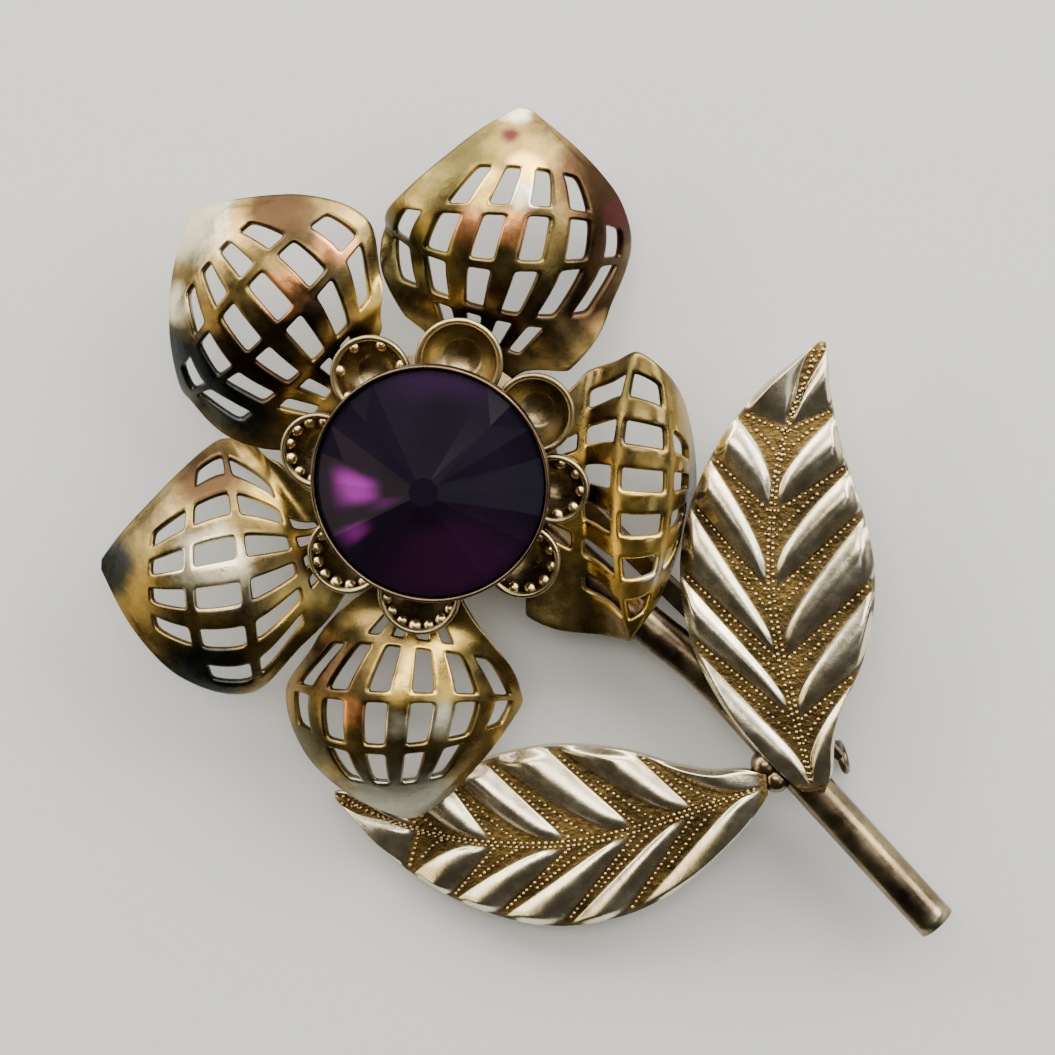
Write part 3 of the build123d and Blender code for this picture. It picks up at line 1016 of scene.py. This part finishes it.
def pin_bar(material):
    """Bar and foot of the pin, with bevelled edges."""
    run = Vector(bar_end) - Vector(bar_start)
    ahead = run.normalized()
    side = Vector((-ahead.y, ahead.x))
    points = []
    faces = []
    bar = [(share * run.length, width) for share, width in bar_widths]
    foot = [(0.0, foot_width), (foot_length, foot_width)]
    blocks = [(bar, bar_top - bar_thickness, bar_top), (foot, 0.0, foot_top)]
    for sections, bottom, top in blocks:
        first = len(points)
        for along, width in sections:
            for out, height in ((-1, bottom), (1, bottom), (1, top), (-1, top)):
                spot = Vector(bar_start) + ahead * along + side * (out * width / 2)
                points.append((spot.x, spot.y, height))
        for k in range(len(sections) - 1):
            here = first + 4 * k
            for corner in range(4):
                after = (corner + 1) % 4
                faces.append((here + corner, here + after, here + 4 + after, here + 4 + corner))
        last = first + 4 * (len(sections) - 1)
        faces.append((first + 3, first + 2, first + 1, first))
        faces.append((last, last + 1, last + 2, last + 3))
    piece = make_piece("pin_bar", points, faces, material, shade_smooth=False)
    modifier = piece.modifiers.new("edges", "BEVEL")
    modifier.width = pin_bevel * MM
    modifier.segments = 3
    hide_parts("pin_back")


def pin_wire(material):
    """Pointed wire of the pin and the loop that catches it."""
    run = Vector(bar_end) - Vector(bar_start)
    ahead = run.normalized()
    start = foot_length / 2
    line = []
    radii = []
    for k in range(wire_steps + 1):
        share = k / wire_steps
        spot = Vector(bar_start) + ahead * (start + (run.length - start) * share)
        line.append(Vector((spot.x, spot.y, loop_centre.z)))
        row = 0 if share < wire_radii[1][0] else 1
        (a, near), (b, far) = wire_radii[row:row + 2]
        radii.append(near + (far - near) * (share - a) / (b - a))
    points, faces = tube(line, radii, wire_sides)
    reach = loop_half_length - loop_wire
    rise = Vector((0, 0, loop_centre.z - loop_wire))
    turns = [2 * math.pi * k / loop_steps for k in range(loop_steps)]
    ring = [loop_centre + loop_along * (reach * math.cos(turn)) + rise * math.sin(turn) for turn in turns]
    add_mesh(points, faces, *tube(ring, [loop_wire] * loop_steps, loop_sides, closed=True))
    piece = make_piece("pin_wire", points, faces, material)
    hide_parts("pin_back")


def new_material(name):
    """Material with one shader, its node tree and the shader."""
    material = bpy.data.materials.new(name)
    material.use_nodes = True
    tree = material.node_tree
    tree.nodes.clear()
    output = tree.nodes.new("ShaderNodeOutputMaterial")
    shader = tree.nodes.new("ShaderNodeBsdfPrincipled")
    tree.links.new(shader.outputs[0], output.inputs["Surface"])
    return material, tree, shader


def noise_node(tree, coords, scale, detail, roughness):
    """Even random pattern, with this many features to the metre."""
    node = tree.nodes.new("ShaderNodeTexNoise")
    node.inputs["Scale"].default_value = scale
    node.inputs["Detail"].default_value = detail
    node.inputs["Roughness"].default_value = roughness
    tree.links.new(coords, node.inputs["Vector"])
    return node.outputs["Fac"]


def ramp_node(tree, value, stops):
    """Colour from a value, between two stops of position and colour."""
    node = tree.nodes.new("ShaderNodeValToRGB")
    for element, (position, colour) in zip(node.color_ramp.elements, stops):
        element.position = position
        element.color = (*colour, 1.0)
    tree.links.new(value, node.inputs["Fac"])
    return node.outputs["Color"]


def mix_colour(tree, factor, a, b):
    """Colour a where the factor is 0 and b where it is 1."""
    node = tree.nodes.new("ShaderNodeMix")
    node.data_type = "RGBA"
    tree.links.new(factor, node.inputs["Factor"])
    for value, socket in ((a, node.inputs[6]), (b, node.inputs[7])):
        if isinstance(value, tuple):
            socket.default_value = (*value, 1.0)
        else:
            tree.links.new(value, socket)
    return node.outputs[2]


def fall_off(tree, value, full, none):
    """1 up to full, easing to 0 at none."""
    fall = tree.nodes.new("ShaderNodeMapRange")
    fall.interpolation_type = "SMOOTHSTEP"
    tree.links.new(value, fall.inputs["Value"])
    fall.inputs["From Min"].default_value = full
    fall.inputs["From Max"].default_value = none
    fall.inputs["To Min"].default_value = 1.0
    fall.inputs["To Max"].default_value = 0.0
    return fall.outputs["Result"]


def math_node(tree, operation, a, b=None):
    """Math node from sockets or numbers."""
    node = tree.nodes.new("ShaderNodeMath")
    node.operation = operation
    for value, socket in ((a, node.inputs[0]), (b, node.inputs[1])):
        if isinstance(value, (int, float)):
            socket.default_value = value
        elif value is not None:
            tree.links.new(value, socket)
    return node.outputs[0]


def spot_mask(tree, coords, ragged, place, radius):
    """Soft round mask about a point, ragged at its edge."""
    distance = tree.nodes.new("ShaderNodeVectorMath")
    distance.operation = "DISTANCE"
    tree.links.new(coords, distance.inputs[0])
    distance.inputs[1].default_value = Vector(place) * MM
    uneven = tree.nodes.new("ShaderNodeMath")
    uneven.operation = "MULTIPLY_ADD"
    tree.links.new(ragged, uneven.inputs[0])
    uneven.inputs[1].default_value = radius * MM
    tree.links.new(distance.outputs["Value"], uneven.inputs[2])
    return fall_off(tree, uneven.outputs[0], spot_full * radius * MM, spot_none * radius * MM)


def gilt(name, bright, dull, shade_colour, tint_and_light_spots=(), low_rough=0.2, high_rough=0.4, grain=fine_grain):
    """Worn gilt metal: soft changes of tone, spots of tarnish tint and of painted highlight, painted
    reflection and painted shade, painted shade darkening the hollows, waves and grain.
    """
    material, tree, shader = new_material(name)
    coords = tree.nodes.new("ShaderNodeTexCoord").outputs["Object"]
    tone_noise = noise_node(tree, coords, tone_scale, 5.0, 0.6)
    base = ramp_node(tree, tone_noise, zip(tone_range, (dull, bright)))
    ragged = noise_node(tree, coords, ragged_scale, 4.0, 0.6)
    # Each spot mixes a tone into the base colour: tarnish tints, painted highlights, painted reflections and
    # painted shade
    for place, radius, tone in tint_and_light_spots:
        base = mix_colour(tree, spot_mask(tree, coords, ragged, place, radius), base, tarnish_and_light_tones[tone])
    # Painted shade: ambient occlusion darkens the colour in hollows, creases and between parts
    hollow = tree.nodes.new("ShaderNodeAmbientOcclusion")
    hollow.inputs["Distance"].default_value = hollow_shade_depth * MM
    hollow.samples = 8
    shade = ramp_node(tree, hollow.outputs["AO"], zip(hollow_shade_range, (black, white)))
    tree.links.new(mix_colour(tree, shade, shade_colour, base), shader.inputs["Base Color"])
    shader.inputs["Metallic"].default_value = 1.0
    specks = noise_node(tree, coords, speck_scale, 5.0, 0.6)
    rough = ramp_node(tree, specks, zip(rough_range, ((low_rough,) * 3, (high_rough,) * 3)))
    tree.links.new(rough, shader.inputs["Roughness"])
    normal = None
    for scale, distance, strength in (soft_waves, grain):
        bump = tree.nodes.new("ShaderNodeBump")
        bump.inputs["Strength"].default_value = strength
        bump.inputs["Distance"].default_value = distance * MM
        tree.links.new(noise_node(tree, coords, scale, 4.0, 0.6), bump.inputs["Height"])
        if normal is not None:
            tree.links.new(normal, bump.inputs["Normal"])
        normal = bump.outputs["Normal"]
    tree.links.new(normal, shader.inputs["Normal"])
    return material


def glass_material():
    """Dark purple glass with painted magenta gleams, painted reflections of the foil behind its left facets.
    """
    material, tree, shader = new_material("purple_glass")
    coords = tree.nodes.new("ShaderNodeTexCoord").outputs["Object"]
    tint = noise_node(tree, coords, glass_scale, 2.0, 0.5)
    base = ramp_node(tree, tint, [(0.35, glass_dark), (0.7, glass_purple)])
    ragged = noise_node(tree, coords, 2 * glass_scale, 3.0, 0.5)
    parts = tree.nodes.new("ShaderNodeSeparateXYZ")
    tree.links.new(coords, parts.inputs[0])
    distance = tree.nodes.new("ShaderNodeVectorMath")
    distance.operation = "LENGTH"
    flat = tree.nodes.new("ShaderNodeCombineXYZ")
    tree.links.new(parts.outputs[0], flat.inputs[0])
    tree.links.new(parts.outputs[1], flat.inputs[1])
    tree.links.new(flat.outputs[0], distance.inputs[0])
    shift = math_node(tree, "MULTIPLY", ragged, ragged_reach * MM)
    away = math_node(tree, "ADD", distance.outputs["Value"], shift)
    # Painted reflections: each gleam wedge mixes its colour into the glass
    for azimuth, half_angle, inner, outer, colour in painted_gleams:
        angle = math.radians(azimuth)
        along = math_node(tree, "ADD", math_node(tree, "MULTIPLY", parts.outputs[0], math.cos(angle)),
                          math_node(tree, "MULTIPLY", parts.outputs[1], math.sin(angle)))
        across = math_node(tree, "SUBTRACT", math_node(tree, "MULTIPLY", parts.outputs[1], math.cos(angle)),
                           math_node(tree, "MULTIPLY", parts.outputs[0], math.sin(angle)))
        off = math_node(tree, "ABSOLUTE", math_node(tree, "ARCTAN2", across, along))
        edge = math.radians(half_angle)
        uneven = math_node(tree, "ADD", off, math_node(tree, "MULTIPLY", ragged, ragged_turn * edge))
        wedge = fall_off(tree, uneven, wedge_full * edge, wedge_none * edge)
        far = fall_off(tree, away, (outer + outer_full) * MM, (outer + outer_none) * MM)
        near = fall_off(tree, away, (inner + inner_full) * MM, (inner + inner_none) * MM)
        mask = math_node(tree, "MULTIPLY", wedge, math_node(tree, "MULTIPLY", far, near))
        base = mix_colour(tree, mask, base, colour)
    tree.links.new(base, shader.inputs["Base Color"])
    shader.inputs["Roughness"].default_value = 0.1
    shader.inputs["IOR"].default_value = 1.6
    shader.inputs["Specular IOR Level"].default_value = 0.07
    return material


def floor():
    """Plain pale floor."""
    material, _, shader = new_material("pale_floor")
    shader.inputs["Base Color"].default_value = (0.59, 0.60, 0.59, 1.0)
    shader.inputs["Roughness"].default_value = 0.9
    mesh = bpy.data.meshes.new("floor")
    half = 2.0
    corners = [(-half, -half, 0), (half, -half, 0), (half, half, 0), (-half, half, 0)]
    mesh.from_pydata(corners, [], [(0, 1, 2, 3)])
    mesh.materials.append(material)
    plane = bpy.data.objects.new("floor", mesh)
    bpy.context.collection.objects.link(plane)


def soft_light(name, azimuth, height, width, tall, power, colour):
    """Area light that faces the brooch from a compass direction and a height angle."""
    data = bpy.data.lights.new(name, "AREA")
    data.shape = "RECTANGLE"
    data.size = width
    data.size_y = tall
    data.energy = power
    data.color = colour
    light = bpy.data.objects.new(name, data)
    turn = math.radians(azimuth)
    rise = math.radians(height)
    toward = Vector((math.cos(rise) * math.cos(turn), math.cos(rise) * math.sin(turn), math.sin(rise)))
    light.location = toward * light_distance
    light.rotation_euler = toward.to_track_quat("Z", "Y").to_euler()
    bpy.context.collection.objects.link(light)


def camera():
    """Camera at the photograph's angle: above, tilted towards the upper right."""
    data = bpy.data.cameras.new("camera")
    sensor = 36.0
    focal_pixels = 3254.0
    frame_pixels = 1055.0
    distance = 0.2
    target = Vector((5.475, -3.316, 6.0)) * MM
    data.sensor_width = sensor
    data.lens = sensor * focal_pixels / frame_pixels
    data.clip_start = 0.01
    tilt = math.radians(14)
    toward = math.radians(60)
    back = Vector((math.sin(tilt) * math.cos(toward), math.sin(tilt) * math.sin(toward), math.cos(tilt)))
    right = Vector((0, 1, 0)).cross(back).normalized()
    up = back.cross(right)
    view = bpy.data.objects.new("camera", data)
    place = target + back * distance
    view.matrix_world = Matrix((
        (right.x, up.x, back.x, place.x),
        (right.y, up.y, back.y, place.y),
        (right.z, up.z, back.z, place.z),
        (0, 0, 0, 1)))
    bpy.context.collection.objects.link(view)
    bpy.context.scene.camera = view


# Colour of the painted shade in hollows
hollow_shade_colour = (0.05, 0.035, 0.02)
gold = gilt("worn_gilt", (0.62, 0.46, 0.22), (0.34, 0.25, 0.12), hollow_shade_colour)
ball_gilt = gilt("ball_gilt", (0.92, 0.74, 0.38), (0.62, 0.46, 0.20), (0.16, 0.10, 0.04))
bead_gilt = gilt("bead_gilt", (0.62, 0.46, 0.20), (0.36, 0.26, 0.11), (0.10, 0.06, 0.03), (), 0.3, 0.5)
groove_gilt = gilt("groove_gilt", (0.27, 0.175, 0.055), (0.075, 0.05, 0.02), (0.03, 0.022, 0.01), (),
                   0.35, 0.55, coarse_grain)
bezel = gilt("bezel", (0.20, 0.14, 0.08), (0.09, 0.06, 0.04), hollow_shade_colour)
bowl_gilt = gilt("bowl_gilt", (0.50, 0.40, 0.20), (0.24, 0.18, 0.09), (0.04, 0.03, 0.018))
pin_gilt = gilt("pin_gilt", (0.15, 0.12, 0.075), (0.08, 0.06, 0.04), hollow_shade_colour)
# Painted highlight: a cream spot on the stem's cut end
cut_end_highlight = (Vector((*stem_path[-1], tube_height)), 1.6, "cream")
copper = gilt("coppery_gilt", (0.30, 0.23, 0.13), (0.065, 0.045, 0.03), hollow_shade_colour, [cut_end_highlight])
leaf_gilt = gilt("leaf_gilt", (0.88, 0.80, 0.60), (0.66, 0.56, 0.36), (0.07, 0.05, 0.03), (), 0.19, 0.34)
glass = glass_material()

camera()
floor()
for name, bend in petals.items():
    spine = petal_spine(bend)
    # Spots on each petal's mid sheet: tarnish tints, painted highlights, painted reflections and painted
    # shade
    tint_and_light_spots = [(petal_point(bend, spine, t, across, 0.0), radius, tone)
             for t, across, radius, tone in petal_tarnish_and_light_spots[name]]
    tinted = gilt(name + "_gilt", (0.36, 0.245, 0.07), (0.11, 0.08, 0.035), hollow_shade_colour, tint_and_light_spots)
    petal(name, bend, tinted)
cup_ring(bowl_gilt, ball_gilt)
setting(bezel)
stone(glass)
for name, place in leaves.items():
    leaf(name, place, leaf_gilt, groove_gilt, bead_gilt)
stem(copper)
back_plate(gold)
pin_bar(pin_gilt)
pin_wire(pin_gilt)

for lamp in lamps:
    soft_light(*lamp)
world = bpy.data.worlds.new("room")
world.use_nodes = True
world.node_tree.nodes["Background"].inputs["Color"].default_value = (0.050, 0.044, 0.036, 1.0)
world.node_tree.nodes["Background"].inputs["Strength"].default_value = 1.0
bpy.context.scene.world = world
